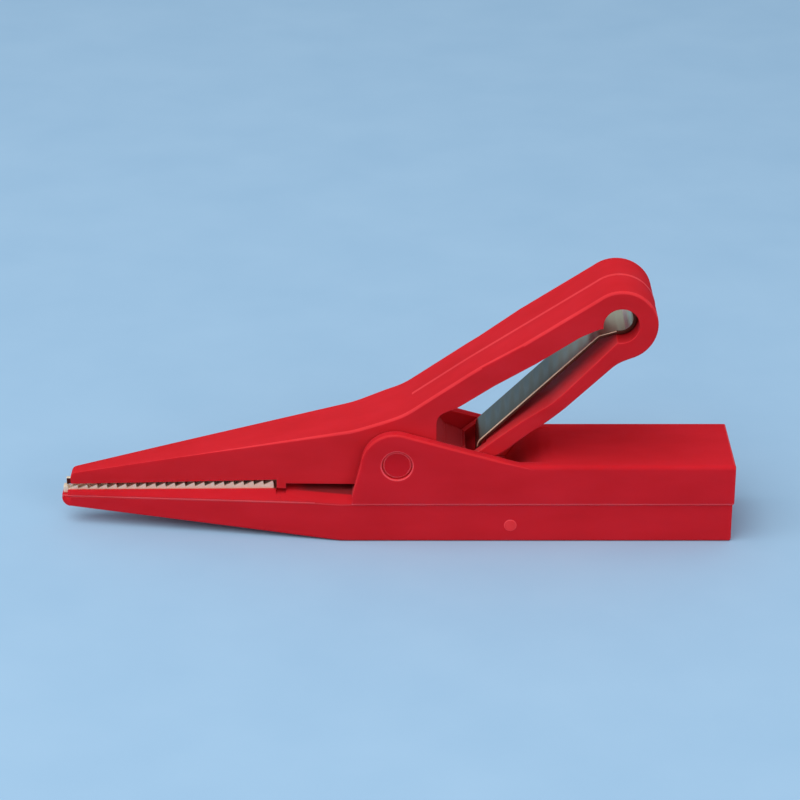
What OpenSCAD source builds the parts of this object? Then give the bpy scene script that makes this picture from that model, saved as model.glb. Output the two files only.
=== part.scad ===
// Insulated crocodile clip with a 4 mm socket, jaws closed.
// X runs from the tip to the rear, Y across the clip and Z up from the face it lies on.

/* [Clip] */
// Overall length, from the nose of the lower jaw to the rear face
clip_len = 84.2; // [82:0.1:88]
// Distance from the rear face to the axis of the hinge pin
hinge_back = 41.9; // [41:0.1:44]
// Height of the hinge pin above the rest face
hinge_z = 10.5; // [10.3:0.1:11.2]
// Side play of the lever between the cheeks
lever_play = 0.15; // [0.1:0.01:0.25]

/* [Body] */
// Width of the body
body_w = 13; // [12.6:0.1:14.5]
// Height of the grip block
body_h = 10.45; // [10:0.05:10.8]
// Rounding of the long top edges of the grip block
block_round = 0.55; // [0.3:0.05:1]
// Height of the seam between the two mouldings along the grip block
seam_z = 5.05; // [4.9:0.05:5.15]
// Height of the seam at the nose
seam_nose_z = 3.65; // [3.4:0.05:3.75]
// Distance from the hinge to the front foot of the cheeks
cheek_front = 5.6; // [5.2:0.1:6.2]
// Radius of the cheeks round the hinge
cheek_r = 4.2; // [3.8:0.1:4.6]
// Wall of the cheeks beside the lever
cheek_wall = 1.35; // [1.2:0.05:1.6]
// Slope of the cheeks down to the grip block, in degrees
cheek_fall = 16; // [14:1:20]
// Distance from the hinge to the end of the hollow between the cheeks
hollow_len = 16.8; // [16.4:0.1:17.2]
// Height of the floor of that hollow
hollow_z = 6.4; // [6.2:0.05:6.6]
// Length of the ramp from that floor up to the top of the grip block
ramp_len = 2.9; // [2.4:0.1:3.4]
// Rounding of the ramp's top edge
ramp_round = 6; // [4:0.5:7]

/* [Lower jaw] */
// Width of the nose of the lower jaw
nose_w = 2.4; // [2:0.1:3]
// Distance from the hinge to the full width of the body
full_w_back = 7.2; // [6:0.1:9]
// Distance from the hinge to the bend of the seam
seam_bend = 10.2; // [9:0.1:12]
// Height of the rails beside the metal jaw, at the nose
rail_nose_z = 4.4; // [4.3:0.05:4.5]
// Height of the rails at the cheeks
rail_root_z = 6.2; // [6.1:0.05:6.3]
// Height that the rails beside the teeth stand above those behind them
rail_step = 0.2; // [0.1:0.05:0.3]
// Length of the notch in the rails behind the teeth
notch_w = 1.25; // [1:0.05:1.5]
// Depth of that notch
notch_deep = 0.25; // [0.15:0.05:0.4]
// Height of the nose of the belly above the rest face
belly_nose_z = 2.5; // [2.2:0.05:2.7]
// Rounding of the nose, below the seam
nose_round = 1.1; // [0.8:0.05:1.15]
// Length of the open nose, in front of the rails, where the metal tip shows
nose_open = 0.7; // [0.4:0.05:1]
// Distance from the hinge to the front end of the flat rest face
rest_front = 6.7; // [6:0.1:9]
// Step of the cover inside the housing, all round
cover_step = 0.18; // [0.1:0.01:0.3]
// Plastic left under the bed of the metal jaw
bed_floor = 0.3; // [0.25:0.05:0.35]

/* [Jaw metal] */
// Sheet thickness of both metal jaws
sheet = 0.4; // [0.35:0.05:0.45]
// Distance that the metal tip stays behind the plastic nose
metal_back = 0.15; // [0.1:0.05:0.4]
// Width of the lower metal jaw at its tip
metal_tip_w = 1.02; // [0.9:0.02:1.2]
// Width of the lower metal jaw at its last tooth
metal_root_w = 6.4; // [6:0.1:6.6]
// Number of teeth along each jaw
teeth = 21; // [19:1:22]
// Distance from the hinge to the end of the last tooth
teeth_back = 15.46; // [15:0.02:16.5]
// Depth of a tooth
tooth_depth = 0.55; // [0.4:0.05:0.65]
// Distance from the metal tip to the first tooth
tooth_start = 0.65; // [0.5:0.05:0.9]
// Height of the tips of the lower teeth at the nose
bite_nose_z = 4.95; // [4.85:0.05:5.05]
// Height of the tips of the lower teeth at the last tooth
bite_root_z = 6.9; // [6.8:0.05:7]
// Distance that the upper teeth reach down between the lower walls
nest = 0.35; // [0.2:0.05:0.5]
// Gap between the walls of the upper and lower metal jaws
nest_gap = 0.2; // [0.15:0.01:0.3]
// Width of the strip that runs back to the socket
strip_w = 4; // [3:0.1:5]

/* [Socket] */
// Bore of the socket
socket_bore = 4; // [3.9:0.05:4.2]
// Depth of that bore
socket_depth = 18.5; // [17:0.5:19.5]
// Outside diameter of the socket sleeve
socket_od = 6.2; // [5.6:0.1:6.6]
// Solid end of the sleeve, which the strip is soldered into
socket_end = 3; // [2.5:0.1:3.5]
// Plastic lip behind the sleeve, at the rear face
socket_lip = 1.2; // [0.8:0.1:1.6]
// Hole in that lip
lip_hole = 4.8; // [4.5:0.1:5.4]

/* [Hinge] */
// Diameter of the hinge pin
pin_d = 3.8; // [3.4:0.1:4.2]
// Radial running clearance of the lever on the pin
pin_play = 0.05; // [0.03:0.01:0.08]
// Depth of the pin's ends below the outside of the cheeks
pin_sink = 0.3; // [0.15:0.05:0.5]
// Radius of the lever's hub
hub_r = 3.3; // [3.1:0.05:3.4]

/* [Lever] */
// Width of the handle at the loop
handle_w = 11.6; // [11:0.1:12.4]
// Width of the nose of the upper jaw
upper_nose_w = 1.9; // [1.6:0.1:2.2]
// Distance that the upper jaw's nose stays behind the metal tip
upper_back = 1; // [0.9:0.05:1.3]
// Height of the upper jaw's nose, top face
upper_nose_z = 6.85; // [6.7:0.05:7.1]
// Rounding of the upper jaw's nose
upper_round = 0.8; // [0.5:0.05:0.9]
// Air between the lower teeth and the upper moulding
jaw_air = 0.35; // [0.25:0.05:0.45]
// Height of the lug over the notch, below the lever's sill
lug_drop = 0.7; // [0.5:0.05:0.8]
// Distance from the hinge to the bend of the jaw's back
back_bend_x = 5.4; // [5:0.1:6]
// Height of that bend above the hinge
back_bend_up = 3.9; // [3.7:0.05:4.1]
// Distance from the hinge to the knee, where the handle turns up
knee_x = 0.8; // [0.5:0.1:1.2]
// Height of the knee above the hinge
knee_up = 6.2; // [6:0.05:6.5]
// Distance from the hinge to the slight bend of the handle's back
handle_bend_x = 8.8; // [8:0.1:10]
// Height of that bend above the hinge
handle_bend_up = 11.75; // [11.5:0.05:11.9]
// Distance from the hinge to the loop's centre, along the clip
loop_x = 27.15; // [26:0.05:29]
// Height of the loop's centre above the hinge
loop_up = 18.4; // [17.6:0.05:19]
// Outer radius of the loop
loop_r = 4.5; // [4.3:0.05:5]
// Radius of the round end of the window
eye_r = 2.2; // [2.05:0.05:2.35]
// Thickness of the upper strut of the handle
upper_strut = 3; // [2.8:0.1:3.2]
// Thickness of the lower strut at its slimmest
lower_strut = 1.75; // [1.6:0.05:2.2]
// Depth of the lower strut at its root
strut_root = 2; // [1.7:0.1:2.5]

/* [Leaf spring] */
// Width of the spring strip
spring_w = 6.7; // [6:0.1:7.2]
// Thickness of the spring strip
spring_t = 0.5; // [0.4:0.05:0.6]
// Space between the spring and the hollow that it lies in
spring_air = 0.1; // [0.05:0.01:0.15]
// Distance from the hinge to the spring's lower leg
leg_x = 10.15; // [9.9:0.05:10.4]
// Space between the spring's foot and the ramp of the hollow
foot_gap = 0.75; // [0.5:0.05:1]

/* [Hidden] */
$fn = 64;
red = "#AE1F2A";
steel = "#9A9C98";
nickel = "#D9D2C2";
brass = "#C9A96A";
far = 60;

// Stations along the clip
nose_x = -clip_len / 2;
rear_x = clip_len / 2;
hinge_x = rear_x - hinge_back;
tip_x = nose_x + metal_back;
throat_x = hinge_x - cheek_front;
teeth_x = tip_x + tooth_start;
teeth_end = hinge_x - teeth_back;
tooth_pitch = (teeth_end - teeth_x) / teeth;
upper_x = tip_x + upper_back;
full_w_x = hinge_x - full_w_back;
bend_x = hinge_x - seam_bend;
ramp_x = hinge_x + hollow_len - ramp_len;

// Upper metal jaw: half thickness of its tongue, and depth of its bed in the lever
tongue_half = 0.3;
bed_deep = 1;

// Lengths of a tooth's long slope and of its flat tip
rake = 0.85 * tooth_pitch;
land = 0.08 * tooth_pitch;

// Overlap of straight faces with the round ones that they run into
merge = 0.02;

// Straight runs between two stations
function run(x, x0, v0, x1, v1) = v0 + (v1 - v0) * (x - x0) / (x1 - x0);
function seam(x) = x > bend_x ? seam_z : run(x, nose_x, seam_nose_z, bend_x, seam_z);
function rail(x) = run(x, nose_x, rail_nose_z, throat_x, rail_root_z);
function bite(x) = run(x, tip_x, bite_nose_z, teeth_end, bite_root_z);
function body_half(x) = min(body_w / 2, run(x, nose_x, nose_w / 2, full_w_x, body_w / 2));
function metal_half(x) = run(x, tip_x, metal_tip_w / 2, teeth_end, metal_root_w / 2);
function bed_half(x) = metal_half(x) + bed_fit;
function nested_half(x) = max(tongue_half, metal_half(x) - sheet - nest_gap);
function metal_station(half) = run(half, metal_tip_w / 2, tip_x, metal_root_w / 2, teeth_end);
function upper_roof(x) = bite(x) + jaw_air + bed_deep;

// Corner of an outline from a by b to c, rounded by an arc of radius r
function unit(v) = v / norm(v);
function turned(v, a) = [v[0] * cos(a) - v[1] * sin(a), v[0] * sin(a) + v[1] * cos(a)];
function side(v, w) = sign(v[0] * w[1] - v[1] * w[0]);
function corner(a, b, c, r, n = 8) =
    let (u = unit(a - b), v = unit(c - b), open = acos(u * v))
    let (o = b + unit(u + v) * r / sin(open / 2))
    let (p = b + u * r / tan(open / 2) - o, q = b + v * r / tan(open / 2) - o)
    [for (i = [0:n]) o + turned(p, side(p, q) * i * (180 - open) / n)];
function arc(o, r, a0, a1, n) = [
    for (i = [0:n]) let (a = a0 + (a1 - a0) * i / n) o + r * [cos(a), sin(a)]
];

// Place where two straight edges meet: each is given by a point and a direction
function meet(p, d, q, e) = p + d * ((q - p)[0] * e[1] - (q - p)[1] * e[0]) / (d[0] * e[1] - d[1] * e[0]);

// Side view drawn in X and Z, spread evenly to both sides of the middle plane
module across(half) {
    translate([0, half, 0]) rotate([90, 0, 0]) linear_extrude(2 * half) children();
}

// Plan view of a taper between stations x0 and x1, as a column from height 0 upward
module taper_column(x0, half0, x1, half1) {
    linear_extrude(far) polygon([[x0, -half0], [x1, -half1], [x1, half1], [x0, half0]]);
}

// Plan outline from the points of one side
function mirrored(line) = concat(line, [for (i = [len(line) - 1:-1:0]) [line[i][0], -line[i][1]]]);

// Round bar or hole across the clip
module cross_bar(x, z, r, half) {
    translate([x, half, z]) rotate([90, 0, 0]) cylinder(r = r, h = 2 * half);
}

// Round bar or hole along the clip, on the socket's axis
module socket_bar(x0, x1, d) {
    translate([x0, 0, seam_z]) rotate([0, 90, 0]) cylinder(d = d, h = x1 - x0);
}

// Stations of the socket
sleeve_rear = rear_x - socket_lip;
sleeve_front = sleeve_rear - socket_depth - socket_end;
sleeve_fit = 0.05;
solder_len = 1.8;

// Pegs that join the cover to the housing
peg_r = 0.8;
peg_h = 2.2;
peg_fit = 0.03;
peg_places = [
    [hinge_x + hollow_len + 1.4, body_w / 2 - 1.9],
    [rear_x - 4.5, body_w / 2 - 1.5]
];

// Strip from the lower metal jaw to the socket, and the groove over it
strip_fit = 0.1;
strip_air = 0.05;
strip_x = teeth_end - 0.4;
function strip_z(x) = x > bend_x ? seam_z : run(x, strip_x, seam(strip_x) + bed_floor, bend_x, seam_z);

// Gap between the last tooth and the end of the bed, where the notch starts
bed_gap = 0.3;
notch_x = teeth_end + bed_gap;
notch_end = notch_x + notch_w;

// Plastic left beside the strip where the notch passes it
bridge_wall = 0.3;

// Side clearance of both metal jaws in their beds
bed_fit = 0.02;

// Room of the lever between the cheeks
gap_half = body_w / 2 - cheek_wall;
hub_half = gap_half - lever_play;
hinge = [hinge_x, hinge_z];

/* Lower moulding of the body, up to the seam, with the belly of the lower jaw */
module bottom_cover() {
    low_half = body_w / 2 - cover_step;
    nose_step = 0.22;
    nose = [nose_x, belly_nose_z];
    rest = [hinge_x - rest_front, 0];
    outline = concat(
        [[nose_x, seam_nose_z]],
        corner([nose_x, seam_nose_z], nose, rest, nose_round),
        corner(nose, rest, [rear_x, 0], 12),
        [[rear_x - cover_step, 0], [rear_x - cover_step, seam_z], [bend_x, seam_z]]
    );
    color(red) {
        difference() {
            intersection() {
                across(body_w) polygon(outline);
                union() {
                    taper_column(nose_x - 1, body_half(nose_x) - nose_step, full_w_x, low_half);
                    taper_column(full_w_x, low_half, rear_x, low_half);
                }
            }
            socket_bar(sleeve_front, sleeve_rear, socket_od + 2 * sleeve_fit);
            socket_bar(sleeve_rear - 1, rear_x + 1, lip_hole);
        }
        for (p = peg_places, s = [-1, 1])
            translate([p[0], s * p[1], seam_z - 1]) cylinder(r = peg_r, h = peg_h + 1);
        gate_mark();
    }
}

// Round gate mark on the side of the cover
module gate_mark() {
    mark_d = 1.5;
    mark_up = 2.25;
    mark_proud = 0.1;
    low_half = body_w / 2 - cover_step;
    translate([hinge_x + 14.1, -low_half + 1, mark_up])
        rotate([90, 0, 0]) cylinder(d = mark_d, h = 1 + mark_proud);
}

// Cheeks in one, from their front foot over the hinge and down into the block
module cheeks() {
    crown = hinge - [0.25, 0];
    front_a = 172;
    fall_r = cheek_r - merge;
    front_foot = [throat_x, rail(throat_x)];
    front_top = crown + fall_r * [cos(front_a), sin(front_a)];
    fall_top = crown + fall_r * [sin(cheek_fall), cos(cheek_fall)];
    fall_end = meet(fall_top, [cos(cheek_fall), -sin(cheek_fall)], [0, body_h - block_round], [1, 0]);
    across(body_w / 2) polygon([
        [throat_x, seam_z], front_foot, front_top, crown, fall_top, fall_end, [fall_end[0], seam_z]
    ]);
    cross_bar(crown[0], crown[1], cheek_r, body_w / 2);
}

// Grip block: its section drawn in Y and Z, run along the clip
module grip_block() {
    half = body_w / 2;
    section = concat(
        [[-half, seam_z]],
        corner([-half, seam_z], [-half, body_h], [half, body_h], block_round),
        corner([-half, body_h], [half, body_h], [half, seam_z], block_round),
        [[half, seam_z]]
    );
    front_x = hinge_x + cheek_r + 1;
    translate([front_x, 0, 0]) rotate([90, 0, 90]) linear_extrude(rear_x - front_x) polygon(section);
}

// Rails of the lower jaw: wide at the seam, narrow beside the metal
module rail_section(x, step = 0) {
    edge = 0.25;
    slice = 0.01;
    low = body_half(x);
    top = metal_half(x) + edge;
    translate([x - slice, 0, 0]) rotate([90, 0, 90]) linear_extrude(slice)
        polygon([[-low, seam(x)], [low, seam(x)], [top, rail(x) + step], [-top, rail(x) + step]]);
}

module jaw_rails() {
    step_x = notch_x + notch_w / 2;
    hull() {
        rail_section(nose_x + 0.01);
        rail_section(step_x, rail_step);
    }
    stations = [step_x, bend_x, full_w_x, throat_x + 0.1];
    for (i = [0:2]) hull() {
        rail_section(stations[i]);
        rail_section(stations[i + 1]);
    }
}

// Notch across both rails, under the lever's lug. The bridge over the strip stays.
module rail_notch() {
    bridge_half = strip_w / 2 + strip_fit + bridge_wall;
    difference() {
        across(far) translate([notch_x, rail(notch_x) - notch_deep]) square([notch_w, 1]);
        across(bridge_half) translate([notch_x - 1, 0]) square([notch_w + 2, rail(notch_x)]);
    }
}

// Bed of the metal jaw between the rails, as far as the teeth go
module jaw_bed() {
    x0 = nose_x - 1;
    x1 = teeth_end + bed_gap;
    intersection() {
        across(far) polygon([[x0, seam(x0) + bed_floor], [x1, seam(x1) + bed_floor], [x1, far], [x0, far]]);
        taper_column(x0, bed_half(x0), x1, bed_half(x1));
    }
}

/* Upper moulding of the body: grip block, cheeks and the rails of the lower jaw */
module body_housing() {
    ramp_top = [ramp_x + ramp_len, body_h + merge];
    ramp_foot = [ramp_x, hollow_z];
    ramp = corner(ramp_foot, ramp_top, ramp_top + [far, 0], ramp_round);
    color(red) difference() {
        union() {
            intersection() {
                cheeks();
                union() {
                    taper_column(nose_x, body_half(nose_x), full_w_x, body_w / 2);
                    taper_column(full_w_x, body_w / 2, rear_x, body_w / 2);
                }
            }
            grip_block();
            jaw_rails();
        }
        jaw_bed();
        across(far) translate([nose_x - 1, seam_nose_z + bed_floor]) square([1 + nose_open, 1]);
        across(gap_half) polygon(concat(
            [[throat_x - 1, far], [throat_x - 1, hollow_z], ramp_foot],
            ramp, [[ramp[len(ramp) - 1][0], far]]
        ));
        rail_notch();
        cross_bar(hinge_x, hinge_z, pin_d / 2, body_w);
        strip_groove();
        socket_bar(sleeve_front, sleeve_rear, socket_od + 2 * sleeve_fit);
        socket_bar(sleeve_rear - 1, rear_x + 1, lip_hole);
        for (p = peg_places, s = [-1, 1])
            translate([p[0], s * p[1], seam_z - 1]) cylinder(r = peg_r + peg_fit, h = peg_h + 1 + peg_fit);
    }
}

// Groove for the strip, open to the seam
module strip_groove() {
    x1 = sleeve_front + 1;
    rise = sheet + strip_air;
    across(strip_w / 2 + strip_fit) polygon([
        [strip_x, seam_z - 1], [x1, seam_z - 1], [x1, seam_z + rise],
        [bend_x, seam_z + rise], [strip_x, strip_z(strip_x) + rise]
    ]);
}

// Side view of the lower metal jaw: floor below, raked teeth above
module lower_teeth_outline() {
    tip_drop = 0.15;
    rise_x = teeth_x - 0.1;
    row = [for (i = [0:teeth - 1]) let (x = teeth_x + i * tooth_pitch, q = x + rake) each [
        [x, bite(x) - tooth_depth], [q, bite(q)], [q + land, bite(q)]
    ]];
    polygon(concat(
        [[tip_x, seam(tip_x) + bed_floor], [tip_x, bite(tip_x) - tip_drop]],
        [[rise_x, bite(teeth_x) - tip_drop]],
        row,
        [[teeth_end, bite(teeth_end) - tooth_depth], [teeth_end, seam(teeth_end) + bed_floor]]
    ));
}

/* Lower metal jaw: toothed channel, with the strip that runs back to the socket */
module lower_jaw_contact() {
    channel_x = teeth_x + 0.5;
    behind = teeth_end + 1;
    end = sleeve_front + solder_len;
    color(nickel) difference() {
        union() {
            intersection() {
                across(far) lower_teeth_outline();
                taper_column(tip_x, metal_half(tip_x), teeth_end, metal_half(teeth_end));
            }
            across(strip_w / 2) polygon([
                [strip_x, strip_z(strip_x)], [bend_x, seam_z], [end, seam_z],
                [end, seam_z + sheet], [bend_x, seam_z + sheet], [strip_x, strip_z(strip_x) + sheet]
            ]);
        }
        intersection() {
            across(far) polygon([
                [channel_x, seam(channel_x) + bed_floor + sheet], [behind, seam(behind) + bed_floor + sheet],
                [behind, far], [channel_x, far]
            ]);
            taper_column(channel_x, metal_half(channel_x) - sheet, behind, metal_half(behind) - sheet);
        }
    }
}

/* Socket: turned sleeve with a solid front end, slotted for the strip */
module socket_sleeve() {
    color(brass) difference() {
        socket_bar(sleeve_front, sleeve_rear, socket_od);
        socket_bar(sleeve_front + socket_end, sleeve_rear + 1, socket_bore);
        translate([sleeve_front - 1, -strip_w / 2, seam_z]) cube([1 + solder_len, strip_w, sheet]);
    }
}

/* Hinge pin: a press fit in both cheeks, its ends below their faces */
module pivot_pin() {
    half = body_w / 2 - pin_sink;
    edge = 0.25;
    color(red) translate([hinge_x, half, hinge_z]) rotate([90, 0, 0]) {
        translate([0, 0, edge]) cylinder(d = pin_d, h = 2 * (half - edge));
        cylinder(d1 = pin_d - 2 * edge, d2 = pin_d, h = edge);
        translate([0, 0, 2 * half - edge]) cylinder(d1 = pin_d, d2 = pin_d - 2 * edge, h = edge);
    }
}

// Lines of the lever's side view
loop = hinge + [loop_x, loop_up];
line_r = loop_r - merge;
knee = hinge + [knee_x, knee_up];
back_bend = hinge + [-back_bend_x, back_bend_up];
handle_bend = hinge + [handle_bend_x, handle_bend_up];
upper_low_z = bite(upper_x) + jaw_air;
handle_line = loop - handle_bend;
handle_tilt = atan2(handle_line[1], handle_line[0]) + asin(line_r / norm(handle_line));
handle_dir = [cos(handle_tilt), sin(handle_tilt)];
handle_up = [-sin(handle_tilt), cos(handle_tilt)];
loop_touch = loop + line_r * handle_up;

// Underside of the lower strut, from the loop's heel to the root behind the hub:
// each point lies this far behind the hinge, and this far above it
strut_end_x = 24.6;
strut_end_up = 11.3;
strut_mid_x = 18.7;
strut_mid_up = 5.6;
root_rise_x = 13;
root_rise_up = 1.05;
root_low_x = 7.7;
root_low_down = 2;
strut_end = hinge + [strut_end_x, strut_end_up];
strut_mid = hinge + [strut_mid_x, strut_mid_up];
root_rise = hinge + [root_rise_x, root_rise_up];
root_low = hinge + [root_low_x, -root_low_down];
heel_a = -68;
heel_touch = loop + line_r * [cos(heel_a), sin(heel_a)];
heel = meet(heel_touch, [-sin(heel_a), cos(heel_a)], strut_end, strut_end - strut_mid);

// Outside of the lever in the side view, without its round ends
module lever_outline() {
    back_round = 15;
    knee_round = 10;
    bend_round = 60;
    heel_round = 5;
    strut_round = 40;
    root_round = 6;
    sill_fall = 0.1;
    sill_drop = 0.4;
    lug_play = 0.1;
    hub_low = hinge_z - hub_r;
    sill_z = hub_low - sill_drop;
    nose_low = [upper_x, upper_low_z];
    nose_top = [upper_x, upper_nose_z];
    polygon(concat(
        [nose_low],
        corner(nose_low, nose_top, back_bend, upper_round),
        corner(nose_top, back_bend, knee, back_round),
        corner(back_bend, knee, handle_bend, knee_round),
        corner(knee, handle_bend, loop_touch, bend_round),
        [loop_touch, loop, heel_touch],
        corner(heel_touch, heel, strut_mid, heel_round),
        corner(heel, strut_mid, root_rise, strut_round),
        corner(strut_mid, root_rise, root_low, root_round),
        [root_low, hinge + hub_r * [0.3, -0.88], hinge + hub_r * [-0.18, -0.97]],
        [[throat_x, hub_low - sill_fall], [notch_end, sill_z], [notch_end, sill_z - lug_drop]],
        [[notch_x + lug_play, sill_z - lug_drop], [notch_x + lug_play, bite(teeth_end) + jaw_air]]
    ));
}

// Window of the handle in the side view, up to the round eye
module window_outline() {
    front_x = 4.85;
    front_low = 2.2;
    front_top = 6.1;
    front_round = 1.6;
    roof_x = 7.6;
    roof_up = 7.3;
    roof_round = 3;
    neck = 4.9;
    neck_round = 6;
    lip_back = 2.7;
    lip_down = 0.45;
    dip_on = 1.75;
    dip_round = 8;
    root_on = 1.4;
    root_len = 6;
    sill_x = 6;
    sill_up = 0.7;
    front = hinge_x + front_x;
    top_low = hinge + [roof_x, roof_up];
    top_end = loop_touch - upper_strut * handle_up - neck * handle_dir;
    eye_lip = loop - [lip_back, lip_down];
    eye_a = -100;
    strut_way = unit(strut_mid - root_rise);
    strut_up = [-strut_way[1], strut_way[0]];
    dip = strut_mid + lower_strut * strut_up + dip_on * strut_way;
    root_top = root_rise + strut_root * strut_up + root_on * strut_way;
    root_end = root_top - root_len * strut_way;
    eye_low = loop + (eye_r - merge) * [cos(eye_a), sin(eye_a)];
    polygon(concat(
        [[front, hinge_z + front_low]],
        corner([front, hinge_z], [front, hinge_z + front_top], top_low, front_round),
        corner([front, hinge_z + front_top], top_low, top_end, roof_round),
        corner(top_low, top_end, eye_lip, neck_round),
        [eye_lip, loop, eye_low],
        corner(eye_low, dip, root_top, dip_round),
        [root_top, root_end, hinge + [sill_x, sill_up]]
    ));
}

/* Lever: upper jaw, hub and the open loop of the handle */
module lever() {
    taper_back = 1.5;
    flare_start = 15.5;
    flare_end = 21.5;
    flare_rise = (handle_w / 2 - hub_half) / (flare_end - flare_start);
    color(red) difference() {
        intersection() {
            union() {
                across(body_w) lever_outline();
                cross_bar(loop[0], loop[1], loop_r, body_w);
                cross_bar(hinge_x, hinge_z, hub_r, body_w);
            }
            union() {
                linear_extrude(far) polygon(mirrored([
                    [upper_x, upper_nose_w / 2], [hinge_x - taper_back, hub_half], [far, hub_half]
                ]));
                translate([hinge_x, 0, hinge_z]) rotate([0, -handle_tilt, 0]) translate([0, 0, -far / 2])
                    linear_extrude(far) polygon(mirrored([
                        [flare_start - 1, hub_half - flare_rise],
                        [flare_end, handle_w / 2], [far, handle_w / 2]
                    ]));
            }
        }
        across(body_w) window_outline();
        cross_bar(loop[0], loop[1], eye_r, body_w);
        cross_bar(hinge_x, hinge_z, pin_d / 2 + pin_play, body_w);
        spring_passage();
        upper_bed();
    }
}

// Slot in the root of the lower strut, through which the spring's leg goes down
module spring_passage() {
    side_air = 0.3;
    front_air = 1.6;
    rear_air = 0.9;
    rear_lean = 0.5;
    reach = 5;
    above = 3;
    top_up = 4;
    leg = hinge_x + leg_x;
    rear = leg + rear_air;
    rise = strip_dir[1] / strip_dir[0];
    low = strip_at(rear) - 0.5 * spring_t / strip_dir[0] - spring_air;
    far_low = low + reach * rise;
    across(spring_w / 2 + side_air) polygon([
        [leg - front_air, 0], [rear + rear_lean, 0], [rear, low], [rear + reach, far_low],
        [rear + reach, far_low + above], [leg - front_air, hinge_z + top_up]
    ]);
}

// Bed of the upper metal jaw in the underside of the lever
module upper_bed() {
    x1 = teeth_end + 0.1;
    intersection() {
        across(far) polygon([
            [upper_x - 1, 0], [upper_x - 1, upper_roof(upper_x - 1)], [x1, upper_roof(x1)], [x1, 0]
        ]);
        union() {
            taper_column(upper_x - 1, nested_half(upper_x) + bed_fit, wide_x, nested_half(wide_x) + bed_fit);
            taper_column(wide_x, nested_half(wide_x) + bed_fit, x1, nested_half(x1) + bed_fit);
        }
    }
}

// Station of the upper metal jaw where its walls start to spread
wide_x = metal_station(tongue_half + sheet + nest_gap);

// Side view of the upper metal jaw, teeth down
module upper_teeth_outline() {
    nest_x = teeth_x + 3 * tooth_pitch;
    count = teeth - 4;
    row = [for (i = [0:count - 1]) let (x = nest_x + i * tooth_pitch, q = x + rake) each [
        [x, bite(x) - nest], [q, bite(q) - nest + tooth_depth],
        [q + land, bite(q) - nest + tooth_depth]
    ]];
    tongue_x = tip_x + 0.4;
    tongue_drop = 0.5;
    air = 0.06;
    end = nest_x + count * tooth_pitch;
    low_x = nest_x - 0.5;
    polygon(concat(
        [[tongue_x, upper_roof(upper_x) - tongue_drop], [tongue_x, bite(tongue_x) + air]],
        [[low_x, bite(nest_x) + air]],
        row,
        [[end, bite(end) - nest], [end, upper_roof(end)], [upper_x, upper_roof(upper_x)],
            [upper_x, upper_roof(upper_x) - tongue_drop]]
    ));
}

/* Upper metal jaw: toothed channel that closes between the walls of the lower one */
module upper_jaw_contact() {
    end = teeth_end;
    behind = end + 1;
    hollow_start = metal_station(tongue_half + 2 * sheet + nest_gap);
    color(nickel) difference() {
        intersection() {
            across(far) upper_teeth_outline();
            union() {
                taper_column(tip_x, tongue_half, wide_x, tongue_half);
                taper_column(wide_x, nested_half(wide_x), end, nested_half(end));
            }
        }
        intersection() {
            across(far) polygon([
                [hollow_start, 0], [behind, 0], [behind, upper_roof(behind) - sheet],
                [hollow_start, upper_roof(hollow_start) - sheet]
            ]);
            taper_column(
                hollow_start, nested_half(hollow_start) - sheet, behind, nested_half(behind) - sheet
            );
        }
    }
}

// Straight run of the spring, from its lower bend to the bend under the eye
run_low_x = 10.5;
run_low_up = 2.1;
run_top_back = 2.45;
strip_low = hinge + [run_low_x, run_low_up];
strip_top = loop - [run_top_back, run_top_back];
strip_dir = unit(strip_top - strip_low);
function strip_at(x) = strip_low[1] + (x - strip_low[0]) * strip_dir[1] / strip_dir[0];

// Outline of a strip of thickness t that follows a path
function ahead(path, i) = unit(path[min(i + 1, len(path) - 1)] - path[max(i - 1, 0)]);
function ribbon(path, t) = concat(
    [for (i = [0:len(path) - 1]) path[i] + t / 2 * [-ahead(path, i)[1], ahead(path, i)[0]]],
    [for (i = [len(path) - 1:-1:0]) path[i] - t / 2 * [-ahead(path, i)[1], ahead(path, i)[0]]]
);

/* Leaf spring: rolled eye in the loop, strip down the window, leg and foot on the hollow's floor */
module leaf_spring() {
    roll_r = eye_r - spring_air - spring_t / 2;
    foot_r = 0.8;
    bend_r = 1.2;
    leg = hinge_x + leg_x;
    foot_x = ramp_x - foot_gap;
    floor_z = hollow_z + spring_t / 2;
    bend = [leg, strip_at(leg)];
    path = concat(
        arc(loop, roll_r, 75, -100, 28),
        corner(loop + roll_r * [cos(-100), sin(-100)], strip_top, strip_low, 1, 4),
        corner(strip_top, bend, [leg, floor_z], bend_r, 8),
        corner(bend, [leg, floor_z], [foot_x, floor_z], foot_r, 6),
        [[foot_x, floor_z]]
    );
    color(steel) across(spring_w / 2) polygon(ribbon(path, spring_t));
}

body_housing();
bottom_cover();
lower_jaw_contact();
socket_sleeve();
pivot_pin();
lever();
upper_jaw_contact();
leaf_spring();
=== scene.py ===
"""Insulated crocodile clip, jaws closed, lying on a pale blue sheet in soft studio light."""

import math

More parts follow.
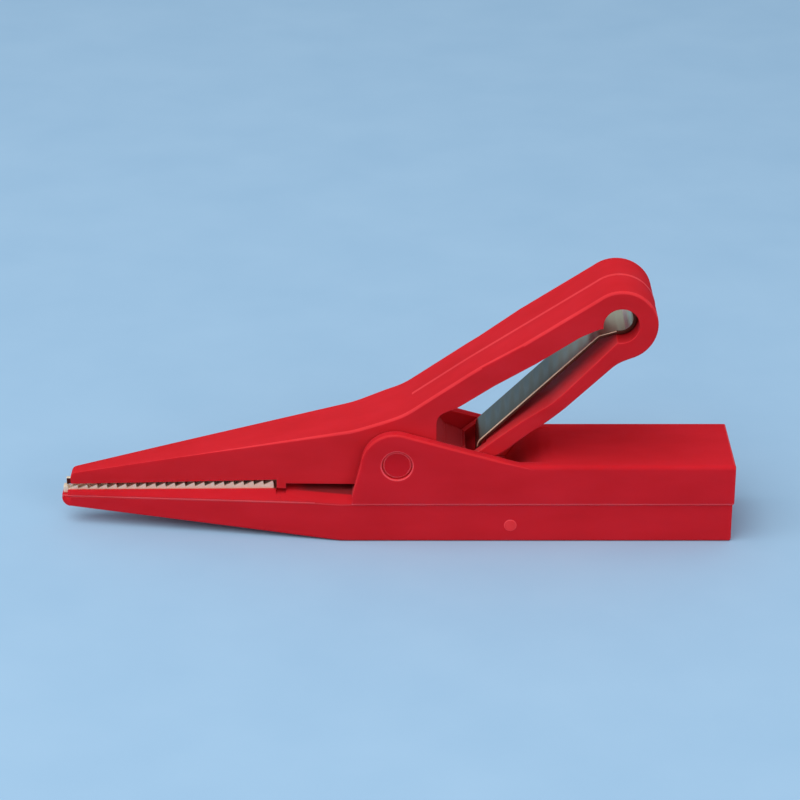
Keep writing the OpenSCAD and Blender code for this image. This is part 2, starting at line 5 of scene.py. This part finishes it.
import bpy
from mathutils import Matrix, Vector


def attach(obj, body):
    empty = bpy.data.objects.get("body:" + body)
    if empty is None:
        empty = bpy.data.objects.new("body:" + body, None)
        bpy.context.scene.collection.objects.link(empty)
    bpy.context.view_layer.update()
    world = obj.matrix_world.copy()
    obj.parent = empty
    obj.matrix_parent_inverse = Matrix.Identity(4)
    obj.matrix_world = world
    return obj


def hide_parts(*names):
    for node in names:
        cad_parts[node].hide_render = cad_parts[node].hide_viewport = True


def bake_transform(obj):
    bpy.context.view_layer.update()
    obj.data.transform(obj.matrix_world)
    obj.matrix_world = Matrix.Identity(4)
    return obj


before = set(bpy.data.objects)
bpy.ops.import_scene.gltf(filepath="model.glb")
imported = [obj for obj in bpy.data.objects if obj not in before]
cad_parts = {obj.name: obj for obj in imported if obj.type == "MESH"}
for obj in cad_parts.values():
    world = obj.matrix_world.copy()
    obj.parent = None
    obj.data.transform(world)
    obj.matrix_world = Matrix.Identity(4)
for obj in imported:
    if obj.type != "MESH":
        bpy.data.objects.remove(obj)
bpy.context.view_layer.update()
MM = 0.001

# Places on the clip in millimetres, x and then z, and radii, as in the part's source
HINGE, PIN_R = (0.2, 10.5), 1.9
LOOP, LOOP_R, EYE_R = (27.35, 28.9), 4.5, 2.2
STRIP_LOW, STRIP_TOP = (10.7, 12.6), (24.9, 26.45)
GATE = (14.3, 2.25)
NOSE = -42.1

# The seam rises from the nose to a bend and is level behind it, as in the part's source
SEAM_NOSE, SEAM_BEND, SEAM = 3.65, -10, 5.05

# Places that serve the looks alone: the nose's sharp tip, the end of the upper metal's bright tongue,
# behind which its teeth get painted shade, the end of the rails, the cheeks' highest vertex, the window's
# front and the reach of the gate's pale mark
SHARP_NOSE = -41
TONGUE_END = -40.8
RAILS_END = -5.45
CROWN = -0.019
WINDOW_FRONT, WINDOW_START = (6.8, 14.6), 4.5
GATE_REACH = 0.86

# Angles in degrees: how steeply the handle and the spring's grain rise, and where a highlight line is
# painted in its roll
HANDLE_TILT = 32
STRIP_LIFT = 43.8
GLINT_ARC = (-64, -42)

# Parting line along the outside of the handle: its height, half its width and where it starts
CREST, CREST_HALF, CREST_START = 0.06, 0.3, 3

# Joining the triangles of the CAD mesh: gap welded, sliver dissolved, angle taken as flat
WELD, SLIVER, FLAT = 0.012, 0.004, math.radians(0.15)

# Angle between faces above which their edge is broken, and up to which they are shaded as one
CRISP, SMOOTH = math.radians(28), math.radians(38)

# The broken edges of a piece take its second skin
EDGE_SLOT = 1

# The colour sockets of a Mix node
COLOUR_A, COLOUR_B, COLOUR_OUT = 6, 7, 2

# Stations and the width of the edge break in front of each
HOLLOW_FADE = ((16.4, 0.1), (17.4, 0.06), (18.2, 0.03), (21, 0.01))
FALL_FADE = ((12.5, 0.24), (13.8, 0.18), (15, 0.1), (16.2, 0.05))
CHEEK_GROW = ((7.6, 0.12), (8.6, 0.16), (9.6, 0.2))
BELLY_GROW = ((-34, 0.1), (-28, 0.16), (-20, 0.22))
NOSE_GROW = ((-37, 0.24), (-33, 0.26), (-28, 0.28))

# Widths of the other edge breaks
BREAK = {
    "back of lever": 0.3, "rest face": 0.3, "socket mouth": 0.28, "seam": 0.26, "block": 0.24,
    "pin hole": 0.16, "socket": 0.15, "spring": 0.12, "sill": 0.08, "cover rim": 0.08, "window": 0.07,
    "pin": 0.06, "rail": 0.05, "gate": 0.04, "sheet": 0.035, "foot of fall": 0.02, "pocket": 0.02,
}


def block(front=-math.inf, rear=math.inf, low=-math.inf, high=math.inf, half=math.inf):
    """Limits of a block of space, as wide on both sides of the clip's middle plane."""
    return front, rear, low, high, half


def within(at, limits):
    """Whether a place is in such a block."""
    front, rear, low, high, half = limits
    return front < at.x < rear and low < at.z < high and abs(at.y) < half


# Blocks that hold one finish: painted shade in the hollow, on the rails' tops and at the window's foot,
# painted light on the ramp and on the window's floor
HOLLOW = block(-5.5, 11, 6.3, 10.44, 5.2)
RAMP = block(11, 17.1, 6.3, 10.44, 5.2)
SHADED_RAILS = block(-15.6, -5.3, 5.1, 6.6)
WINDOW_FOOT = block(2, 9.2, high=17, half=4.9)
WINDOW_FLOOR = block(9, 27)

# Blocks whose edges are broken alike
BETWEEN_WALLS = block(half=5.3)
CHEEK_FRONT = block(rear=-3.7, high=10.6)
FALL = block(11, 18, low=9.6)
GATE_MARK = block(GATE[0] - 1, GATE[0] + 1, 1.2, 3.2)
POCKETS = block(high=17, half=4.3)
SILL = block(rear=6, high=9.5)


def on_plane(place):
    """A place on the clip's middle plane."""
    return Vector((place[0], 0, place[1]))


def off_axis(at, place):
    """Distance from an axis that runs across the clip."""
    return math.hypot(at.x - place[0], at.z - place[1])


# Selecting and working on one mesh at a time

def pick(piece):
    """Makes one piece the only selected and the active one."""
    if bpy.context.object and bpy.context.object.mode != "OBJECT":
        bpy.ops.object.mode_set(mode="OBJECT")
    bpy.ops.object.select_all(action="DESELECT")
    piece.select_set(True)
    bpy.context.view_layer.objects.active = piece


def edit(piece):
    """Goes into edit mode on a piece, with nothing selected."""
    pick(piece)
    bpy.ops.object.mode_set(mode="EDIT")
    bpy.ops.mesh.select_mode(type="VERT")
    bpy.ops.mesh.select_all(action="DESELECT")


def done():
    """Goes back to object mode."""
    bpy.ops.object.mode_set(mode="OBJECT")


def apply_modifier(piece, kind, **settings):
    pick(piece)
    modifier = piece.modifiers.new(kind.lower(), kind)
    for key, value in settings.items():
        setattr(modifier, key, value)
    bpy.ops.object.modifier_apply(modifier=modifier.name)


def cut(piece, at, across, end=math.inf):
    """Cuts a mesh with one plane, given in millimetres, as far as a station along the clip, and keeps
    the cut as a seam."""
    pick(piece)
    mesh = piece.data
    for part in (*mesh.edges, *mesh.polygons):
        part.select = all(mesh.vertices[i].co.x < end * MM for i in part.vertices)
    for vertex in mesh.vertices:
        vertex.select = vertex.co.x < end * MM
    bpy.ops.object.mode_set(mode="EDIT")
    bpy.ops.mesh.bisect(plane_co=[c * MM for c in at], plane_no=across)
    bpy.ops.mesh.mark_seam()
    done()


def copy_of(part, name, along=(), up=(), up_end=0):
    """A piece's own copy of its CAD mesh, its triangles joined to whole flat faces. Cuts at stations
    along the clip and up it part the faces round a hole, and let an edge break change its width."""
    piece = bpy.data.objects.new(name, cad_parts[part].data.copy())
    bpy.context.scene.collection.objects.link(piece)
    piece.data.materials.clear()
    edit(piece)
    bpy.ops.mesh.customdata_custom_splitnormals_clear()
    bpy.ops.mesh.select_all(action="SELECT")
    bpy.ops.mesh.remove_doubles(threshold=WELD * MM)
    bpy.ops.mesh.dissolve_degenerate(threshold=SLIVER * MM)
    for x in along:
        cut(piece, (x, 0, 0), (1, 0, 0))
    for z in up:
        cut(piece, (0, 0, z), (0, 0, 1), up_end)
    edit(piece)
    bpy.ops.mesh.select_all(action="SELECT")
    bpy.ops.mesh.dissolve_limited(angle_limit=FLAT, delimit={"SEAM"})
    done()
    return piece


def weigh_edges(piece, width_of):
    """Gives each crisp edge the width, in millimetres, to which its corner is broken."""
    mesh = piece.data
    faces_of = {}
    for polygon in mesh.polygons:
        for key in polygon.edge_keys:
            faces_of.setdefault(key, []).append(polygon.normal)
    weights = mesh.attributes.new("bevel_weight_edge", "FLOAT", "EDGE")
    for edge in mesh.edges:
        normals = faces_of.get(tuple(sorted(edge.vertices)), [])
        if len(normals) == 2 and normals[0].angle(normals[1], 0) > CRISP:
            a, b = (mesh.vertices[i].co / MM for i in edge.vertices)
            weights.data[edge.index].value = width_of((a + b) / 2, normals)


def soften(piece, width_of, skins, skin_of=None, segments=3):
    """Breaks the crisp edges of a piece, gives faces and edges their finish and shades it smooth."""
    for skin in skins:
        piece.data.materials.append(skin)
    weigh_edges(piece, width_of)
    apply_modifier(
        piece, "BEVEL", width=MM, segments=segments, limit_method="WEIGHT",
        offset_type="OFFSET", use_clamp_overlap=False, loop_slide=False, miter_outer="MITER_ARC",
        material=EDGE_SLOT if len(skins) > 1 else -1,
    )
    if skin_of:
        for face in piece.data.polygons:
            skin = skin_of(face.center / MM, face.normal, face.material_index == EDGE_SLOT)
            face.material_index = skins.index(skin)
    pick(piece)
    bpy.ops.object.shade_smooth_by_angle(angle=SMOOTH)
    apply_modifier(piece, "WEIGHTED_NORMAL", keep_sharp=True, weight=80)


# Materials

def linear(hex_colour):
    """sRGB hex to the linear values that a shader takes."""
    out = []
    for i in (1, 3, 5):
        c = int(hex_colour[i:i + 2], 16) / 255
        out.append(c / 12.92 if c <= 0.04045 else ((c + 0.055) / 1.055) ** 2.4)
    return (*out, 1.0)


def node(tree, kind, settings=None, values=None, links=None):
    """Adds one node, with its settings, socket values and incoming links."""
    made = tree.nodes.new(kind)
    for key, value in (settings or {}).items():
        setattr(made, key, value)
    for socket, value in (values or {}).items():
        made.inputs[socket].default_value = value
    for socket, source in (links or {}).items():
        tree.links.new(source, made.inputs[socket])
    return made


def start_material(name):
    made = bpy.data.materials.new(name)
    made.use_nodes = True
    tree = made.node_tree
    shader = tree.nodes["Principled BSDF"]
    place = node(tree, "ShaderNodeTexCoord").outputs["Object"]
    return made, tree, shader, place


def tint(tree, shader, noise, *stops):
    """Turns a noise into the base colour, from positions in it and colours in rising order."""
    shade = node(tree, "ShaderNodeValToRGB", links={"Fac": noise.outputs["Fac"]})
    ramp = shade.color_ramp
    ramp.elements[0].position, ramp.elements[1].position = stops[0][0], stops[-1][0]
    for position, _ in stops[1:-1]:
        ramp.elements.new(position)
    for element, (_, colour) in zip(ramp.elements, stops):
        element.color = linear(colour)
    tree.links.new(shade.outputs["Color"], shader.inputs["Base Color"])


def moulded_plastic(name, deep, mid, pale, grain=0.35, gloss=0.0, shine=0.0, depth=0.6):
    """Injection-moulded red polyamide: satin skin off a spark-eroded tool, faint flow shades
    and a few hairline scuffs that catch the light. Light goes in and makes shaded faces glow red."""
    made, tree, shader, place = start_material(name)
    flow_place = node(tree, "ShaderNodeMapping", {"vector_type": "TEXTURE"},
                      {"Scale": (11 * MM, 4.5 * MM, 4.5 * MM)}, {"Vector": place})
    flow = node(tree, "ShaderNodeTexNoise", values={"Scale": 1, "Detail": 3, "Roughness": 0.55},
                links={"Vector": flow_place.outputs[0]})
    tint(tree, shader, flow, (0.3, deep), (0.5, mid), (0.72, pale))
    spark = node(tree, "ShaderNodeTexNoise", values={"Scale": 1000 / grain, "Detail": 2},
                 links={"Vector": place})
    scuff_place = node(tree, "ShaderNodeMapping", {"vector_type": "TEXTURE"},
                       {"Rotation": (0.2, 0.5, 0.9), "Scale": (5 * MM, 0.4 * MM, 0.4 * MM)},
                       {"Vector": place})
    scuff = node(tree, "ShaderNodeTexNoise", values={"Scale": 1, "Detail": 2},
                 links={"Vector": scuff_place.outputs[0]})
    rough = node(tree, "ShaderNodeMapRange", values={"From Min": 0.35, "From Max": 0.7,
                                                     "To Min": 0.36 - gloss, "To Max": 0.46 - gloss},
                 links={"Value": scuff.outputs["Fac"]})
    tree.links.new(rough.outputs["Result"], shader.inputs["Roughness"])
    bump = node(tree, "ShaderNodeBump", values={"Strength": 0.12, "Distance": 0.02 * MM},
                links={"Height": spark.outputs["Fac"]})
    tree.links.new(bump.outputs["Normal"], shader.inputs["Normal"])
    shader.inputs["IOR"].default_value = 1.53
    shader.inputs["Specular IOR Level"].default_value = shine
    shader.inputs["Subsurface Weight"].default_value = depth
    shader.inputs["Subsurface Radius"].default_value = (1.0, 0.25, 0.2)
    shader.inputs["Subsurface Scale"].default_value = 1.2 * MM
    return made


def plated_metal(name, dull, bright, rough_low, rough_high, scale, lift=0):
    """Sheet or turned metal: its colour and gloss wander a little along the rolling or turning marks."""
    made, tree, shader, place = start_material(name)
    marks_place = node(tree, "ShaderNodeMapping", {"vector_type": "TEXTURE"},
                       {"Rotation": (0, math.radians(-lift), 0), "Scale": [step * MM for step in scale]},
                       {"Vector": place})
    marks = node(tree, "ShaderNodeTexNoise", values={"Scale": 1, "Detail": 4, "Roughness": 0.6},
                 links={"Vector": marks_place.outputs[0]})
    tint(tree, shader, marks, (0.3, dull), (0.7, bright))
    rough = node(tree, "ShaderNodeMapRange", values={"To Min": rough_low, "To Max": rough_high},
                 links={"Value": marks.outputs["Fac"]})
    tree.links.new(rough.outputs["Result"], shader.inputs["Roughness"])
    bump = node(tree, "ShaderNodeBump", values={"Strength": 0.15, "Distance": 0.01 * MM},
                links={"Height": marks.outputs["Fac"]})
    tree.links.new(bump.outputs["Normal"], shader.inputs["Normal"])
    shader.inputs["Metallic"].default_value = 1.0
    return made


def change_along(made, colour, axis, start, full):
    """Changes a material's colour from one station to another along an axis, for painted light and painted
    shade.
    """
    tree = made.node_tree
    shader = tree.nodes["Principled BSDF"]
    fresh = shader.inputs["Base Color"].links[0].from_socket
    place = node(tree, "ShaderNodeTexCoord").outputs["Object"]
    along = node(tree, "ShaderNodeSeparateXYZ", links={"Vector": place}).outputs[axis]
    share = node(tree, "ShaderNodeMapRange", values={"From Min": start * MM, "From Max": full * MM},
                 links={"Value": along})
    worn = node(tree, "ShaderNodeMix", {"data_type": "RGBA"})
    tree.links.new(share.outputs["Result"], worn.inputs["Factor"])
    tree.links.new(fresh, worn.inputs[COLOUR_A])
    worn.inputs[COLOUR_B].default_value = linear(colour)
    tree.links.new(worn.outputs[COLOUR_OUT], shader.inputs["Base Color"])


# One red resin; the skins below paint highlights and shade on it by place. The faces are satin,
# a little uneven in tone.
red_body = moulded_plastic("moulded_red_polyamide_body", "#CC222B", "#D2242E", "#D82732")
red_lever = moulded_plastic("moulded_red_polyamide_lever", "#CC242B", "#D2262E", "#D82932")
# Painted highlight: paler lines on the lever's edges that face up, its parting line and the window's
# floor, which draw the handle. The gate's mark on the cover takes this paler red too
red_highlight_and_gate_mark = moulded_plastic("moulded_red_polyamide_painted_highlight_and_gate_mark", "#E0323A", "#E8383E", "#F03E44",
                           gloss=0.06, shine=0.04)
# Painted highlight: thin pink lines along the seam, round the gate's rim, the pin's hole and the pin's
# chamfer
red_highlight_lines = moulded_plastic("moulded_red_polyamide_painted_highlight_lines", "#F44850", "#FA5058", "#FF5860",
                           gloss=0.06, shine=0.05, depth=1)
# Painted shade on inside faces: a darker, duller red, matt
red_inside_shade = moulded_plastic("moulded_red_polyamide_inside_painted_shade", "#B42C32", "#BC3036", "#C4343A",
                             grain=0.5, gloss=-0.3, depth=1)
# Painted highlight on the body's edges that face up: only just paler than the faces
red_body_edge_highlight = moulded_plastic("moulded_red_polyamide_body_painted_edge_highlight", "#D6282F", "#DC2C33", "#E23038",
                          gloss=0.06, shine=0.04)
# Painted light on the ramp under the lower strut: paler red at its foot, which softens the shadow there
red_ramp_light = moulded_plastic("moulded_red_polyamide_ramp_painted_light", "#EC444C", "#F24A52", "#F85058", depth=1)
change_along(red_ramp_light, "#D2242E", "X", 14.2, 16.9)
# Painted shade on the tops of the rails behind the teeth: a dark slot under the upper jaw
red_slot_shade = moulded_plastic("moulded_red_polyamide_painted_slot_shade", "#CC222B", "#D2242E", "#D82732")
change_along(red_slot_shade, "#8C282C", "Z", 5.84, 5.93)
# The pin's end: a shade deeper than the cheek round it
red_pin = moulded_plastic("moulded_red_polyamide_pin", "#C41C26", "#CC1E29", "#D4202C", grain=0.5)

# Sheet metal of the jaws: warm white teeth below; painted shade makes the upper teeth dark brown inside the
# upper jaw
FINE_GRAIN = (0.4, 1.1, 0.4)
nickel = plated_metal("nickel_plated_steel", "#FFE6CC", "#FFF4E0", 0.62, 0.75, FINE_GRAIN)
shaded_nickel = plated_metal("nickel_plate_painted_shade", "#4E1C18", "#6A2A24", 0.4, 0.55, FINE_GRAIN)
# The spring: grey-green strip; painted light makes it paler towards the roll, a painted highlight makes
# its upper corners cream, painted shade makes its sides brown
ACROSS_GRAIN = (0.2, 0.6, 0.2)
steel = plated_metal("rolled_spring_steel", "#56594A", "#6E715F", 0.28, 0.42, (7, 0.2, 0.2), STRIP_LIFT)
# Painted light: the strip turns paler from 19 mm to 25 mm along the clip, towards the roll
change_along(steel, "#DCD8BC", "X", 19, 25)
# Painted highlight: cream on the strip's upper corners
steel_edge_highlight = plated_metal("spring_steel_painted_edge_highlight", "#F4D8B8", "#FFE8CC", 0.6, 0.72,
                          (0.6, 0.2, 0.2), STRIP_LIFT)
# Painted highlight: a white line inside the roll
steel_glint = plated_metal("spring_steel_painted_highlight_line", "#FFF6EA", "#FFFFFF", 0.5, 0.6, ACROSS_GRAIN, STRIP_LIFT)
# Painted shade: dark brown on the strip's sides and lower edges
steel_shade = plated_metal("spring_steel_painted_shade", "#5A3028", "#704034", 0.5, 0.6, ACROSS_GRAIN, STRIP_LIFT)
# The socket: yellow ring deep in the rear face
brass = plated_metal("turned_brass", "#B58A3C", "#D2AC5C", 0.2, 0.34, (0.12, 8, 8))


# Red mouldings

def seam(x):
    """Height of the seam between the two mouldings of the body."""
    return min(SEAM, SEAM_NOSE + (SEAM - SEAM_NOSE) * (x - NOSE) / (SEAM_BEND - NOSE))


def above_seam(at):
    return at.z - seam(at.x)


def tapered(x, steps, last):
    """Width of an edge break that changes at stations along the clip or up it."""
    return next((width for end, width in steps if x < end), last)


def ends(steps):
    """The stations themselves, where the mesh is cut so that the width can change."""
    return tuple(end for end, width in steps)


def gets_edge_highlight(normal, on_edge):
    """Edges that face up get a painted highlight, those that face down keep the finish of the faces."""
    return on_edge and normal.z > 0.15


def housing_finish(at, normal, on_edge):
    """Painted shade on the rails behind the teeth and in the hollow, painted highlight lines along the seam
    and round the pin's hole, painted light on the ramp, painted highlight on edges that face up.
    """
    if normal.z > 0.5 and within(at, SHADED_RAILS):
        return red_slot_shade
    if on_edge and abs(above_seam(at)) < 0.28 and abs(normal.y) > 0.2:
        return red_highlight_lines
    if on_edge and off_axis(at, HINGE) < PIN_R + 0.4:
        return red_highlight_lines
    if not on_edge and within(at, HOLLOW):
        return red_inside_shade
    if not on_edge and within(at, RAMP):
        return red_ramp_light
    return red_body_edge_highlight if gets_edge_highlight(normal, on_edge) else red_body


def housing_edges(at, normals):
    """Outer edges of block and cheeks are full, those of the slim rails and of the hollow only broken."""
    if abs(above_seam(at)) < 0.05:
        return BREAK["seam"]
    if at.x < RAILS_END:
        return BREAK["rail"]
    if within(at, BETWEEN_WALLS):
        return tapered(at.x, HOLLOW_FADE, BREAK["socket mouth"])
    if off_axis(at, HINGE) < PIN_R + 0.1:
        return BREAK["pin hole"]
    if within(at, CHEEK_FRONT):
        return tapered(at.z, CHEEK_GROW, BREAK["block"])
    if within(at, FALL):
        return tapered(at.x, FALL_FADE, BREAK["foot of fall"])
    return BREAK["block"]


def cover_edges(at, normals):
    """The very tip stays sharp, the slim nose is only broken, and the rest face has full edges."""
    if at.x < SHARP_NOSE:
        return 0
    if within(at, GATE_MARK):
        return BREAK["gate"]
    if above_seam(at) > -0.15:
        return BREAK["cover rim"]
    return tapered(at.x, BELLY_GROW, BREAK["rest face"])


def cover_finish(at, normal, on_edge):
    """Painted highlight on edges that face up, and a pale round mark of the gate in the side with a painted
    highlight on its rim.
    """
    if off_axis(at, GATE) < GATE_REACH and abs(at.y) > 5.5:
        return red_highlight_lines if on_edge else red_highlight_and_gate_mark
    return red_body_edge_highlight if gets_edge_highlight(normal, on_edge) else red_body


def rims_window(at, normals):
    """Whether one of the two faces beside an edge looks into the window of the handle."""
    front = on_plane(WINDOW_FRONT)
    line = on_plane(LOOP) - front
    flat = Vector((at.x, 0, at.z)) - front
    along = min(1, max(0, flat.dot(line) / line.length_squared))
    away = flat - along * line
    return any(abs(n.y) < 0.7 and n.dot(away) < 0 for n in normals)


def lever_edges(at, normals):
    """Thumb loop and back are full, the nose slim, the window's rims and the pockets crisp."""
    if within(at, POCKETS):
        return BREAK["pocket"]
    if at.x > WINDOW_START and rims_window(at, normals):
        return BREAK["window"]
    if within(at, SILL):
        return BREAK["sill"]
    return tapered(at.x, NOSE_GROW, BREAK["back of lever"])


def lever_finish(at, normal, on_edge):
    """Painted highlight on edges that face up and on the parting line, painted light on the window's floor
    and painted shade in the pocket in front of it.
    """
    faces_window = rims_window(at, (normal,))
    if abs(at.y) < CREST_HALF and at.x > CREST_START and normal.z > 0.2 and not faces_window:
        return red_highlight_and_gate_mark
    if not on_edge and within(at, WINDOW_FOOT):
        return red_inside_shade
    if not on_edge and within(at, WINDOW_FLOOR) and normal.z > 0.2 and faces_window:
        return red_highlight_and_gate_mark
    return red_highlight_and_gate_mark if gets_edge_highlight(normal, on_edge) else red_lever


def raise_parting_line(piece):
    """Fine witness of the tool's parting plane along the middle of the handle's outside."""
    edit(piece)
    for across in (-CREST_HALF, 0, CREST_HALF):
        bpy.ops.mesh.select_all(action="SELECT")
        bpy.ops.mesh.bisect(plane_co=(0, across * MM, 0), plane_no=(0, 1, 0))
    bpy.ops.mesh.select_all(action="DESELECT")
    done()
    tilt = math.radians(HANDLE_TILT)
    up = Vector((-math.sin(tilt), 0, math.cos(tilt)))
    # The ridge lies on the middle plane, over the back of the handle and round its end
    for vertex in piece.data.vertices:
        at = vertex.co / MM
        if abs(at.y) > 0.001 or at.x < CREST_START:
            continue
        away = at - on_plane(LOOP)
        on_top = vertex.normal.dot(up) > 0.3 and away.dot(up) > 1.5
        on_end = abs(away.length - LOOP_R) < 0.1 and away.x > 0
        vertex.select = on_top or on_end
    bpy.ops.object.mode_set(mode="EDIT")
    bpy.ops.transform.shrink_fatten(value=CREST * MM)
    done()


# The hollow closes before the last station of its fade
housing = copy_of(
    "body_housing", "housing_moulding",
    along=(CROWN, *ends(FALL_FADE), *ends(HOLLOW_FADE)[:-1]), up=ends(CHEEK_GROW), up_end=CROWN + 0.1,
)
body_skins = (red_body, red_body_edge_highlight, red_highlight_lines, red_inside_shade, red_slot_shade, red_ramp_light)
soften(housing, housing_edges, body_skins, housing_finish)

cover = copy_of("bottom_cover", "cover_moulding", along=(SHARP_NOSE, *ends(BELLY_GROW), GATE[0]))
soften(cover, cover_edges, (red_body, red_body_edge_highlight, red_highlight_lines, red_highlight_and_gate_mark), cover_finish)

handle = copy_of("lever", "lever_moulding", along=(*ends(NOSE_GROW), HINGE[0], LOOP[0]))
raise_parting_line(handle)
soften(handle, lever_edges, (red_lever, red_highlight_and_gate_mark, red_inside_shade), lever_finish)


def pin_finish(at, normal, on_edge):
    """The narrow chamfer round each end of the pin gets a painted highlight."""
    return red_highlight_lines if off_axis(at, HINGE) > PIN_R - 0.4 and abs(normal.y) > 0.25 else red_pin


pin = copy_of("pivot_pin", "hinge_pin")
soften(pin, lambda at, normals: BREAK["pin"], (red_pin, red_highlight_lines), pin_finish, segments=2)


# Metal parts

lower_teeth = copy_of("lower_jaw_contact", "lower_jaw_metal")
soften(lower_teeth, lambda at, normals: BREAK["sheet"], (nickel,), segments=2)


def upper_finish(at, normal, on_edge):
    """The tongue keeps the bright nickel, the teeth inside the jaw get painted shade."""
    return nickel if at.x < TONGUE_END else shaded_nickel


upper_teeth = copy_of("upper_jaw_contact", "upper_jaw_metal")
soften(upper_teeth, lambda at, normals: BREAK["sheet"], (nickel, shaded_nickel), upper_finish, segments=2)

sleeve = copy_of("socket_sleeve", "socket_sleeve_turned")
soften(sleeve, lambda at, normals: BREAK["socket"], (brass,))


def cut_across_strip(piece, count=24):
    """Cuts rings across the spring's straight run, evenly spaced along its length."""
    low, top = on_plane(STRIP_LOW), on_plane(STRIP_TOP)
    edit(piece)
    for i in range(1, count):
        at = low.lerp(top, i / count)
        bpy.ops.mesh.select_all(action="SELECT")
        bpy.ops.mesh.bisect(plane_co=at * MM, plane_no=(top - low).normalized())
    done()


def spring_finish(at, normal, on_edge):
    """Painted highlight on the strip's upper corners, painted shade on its sides and edges. A painted
    highlight line shines in the roll.
    """
    from_roll = Vector((at.x, 0, at.z)) - on_plane(LOOP)
    if from_roll.length > EYE_R + 0.1 and on_edge and normal.z > 0:
        return steel_edge_highlight
    if on_edge or abs(normal.y) > 0.5:
        return steel_shade
    turn = math.degrees(math.atan2(from_roll.z, from_roll.x))
    painted_glint = normal.dot(from_roll) < 0 and GLINT_ARC[0] < turn < GLINT_ARC[1]
    return steel_glint if painted_glint else steel


spring = copy_of("leaf_spring", "leaf_spring_strip")
spring_skins = (steel, steel_edge_highlight, steel_glint, steel_shade)
soften(spring, lambda at, normals: BREAK["spring"], spring_skins, spring_finish)
cut_across_strip(spring)

for piece, part, body, finish in (
    (housing, "body_housing", "body", "red_plastic"),
    (cover, "bottom_cover", "body", "red_plastic"),
    (handle, "lever", "lever", "red_plastic"),
    (pin, "pivot_pin", "body", "pin_plastic"),
    (lower_teeth, "lower_jaw_contact", "body", "nickel_plate"),
    (upper_teeth, "upper_jaw_contact", "lever", "nickel_plate"),
    (sleeve, "socket_sleeve", "body", "brass"),
):
    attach(piece, body)
    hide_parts(part)

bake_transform(spring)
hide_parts("leaf_spring")


# Floor, light and camera

def pale_sheet():
    """Smooth pale blue paper: matt, with the slight mottle of its fibres."""
    made, tree, shader, place = start_material("pale_blue_paper")
    fibre = node(tree, "ShaderNodeTexNoise", values={"Scale": 60, "Detail": 4}, links={"Vector": place})
    tint(tree, shader, fibre, (0.3, "#A4C8E5"), (0.7, "#A9CCE8"))
    shader.inputs["Roughness"].default_value = 0.9
    shader.inputs["Specular IOR Level"].default_value = 0.2
    return made


bpy.ops.object.select_all(action="DESELECT")
bpy.ops.mesh.primitive_plane_add(size=4, location=(0, 0, 0))
floor = bpy.context.object
floor.name = "floor"
floor.data.materials.append(pale_sheet())

# Pale, even surroundings fill the shadows
world = bpy.data.worlds.new("studio")
bpy.context.scene.world = world
world.use_nodes = True
background = world.node_tree.nodes["Background"]
background.inputs["Color"].default_value = linear("#DDE7F0")
background.inputs["Strength"].default_value = 0.55


def softbox(name, place, size, power):
    """White rectangular lamp turned towards the clip."""
    bpy.ops.object.light_add(type="AREA", location=place)
    lamp = bpy.context.object
    lamp.name = name
    lamp.data.shape = "RECTANGLE"
    lamp.data.size, lamp.data.size_y = size
    lamp.data.energy = power
    lamp.rotation_euler = (-Vector(place)).to_track_quat("-Z", "Y").to_euler()


softbox("key_high_left", (-0.28, -0.25, 0.64), (0.9, 0.7), 3.9)
softbox("fill_front_right", (0.35, -0.5, 0.3), (0.4, 0.3), 0.8)

# Long lens, 24 degrees above the sheet, as fitted to the photo
lens = bpy.data.cameras.new("camera")
lens.lens = 121.5
lens.sensor_width = 36
lens.clip_start, lens.clip_end = 0.01, 10
camera = bpy.data.objects.new("camera", lens)
bpy.context.scene.collection.objects.link(camera)
camera.location = (0.000555, -0.306794, 0.155064)
camera.rotation_euler = (math.radians(65.7), 0, 0)
bpy.context.scene.camera = camera
bpy.context.scene.view_settings.view_transform = "Standard"
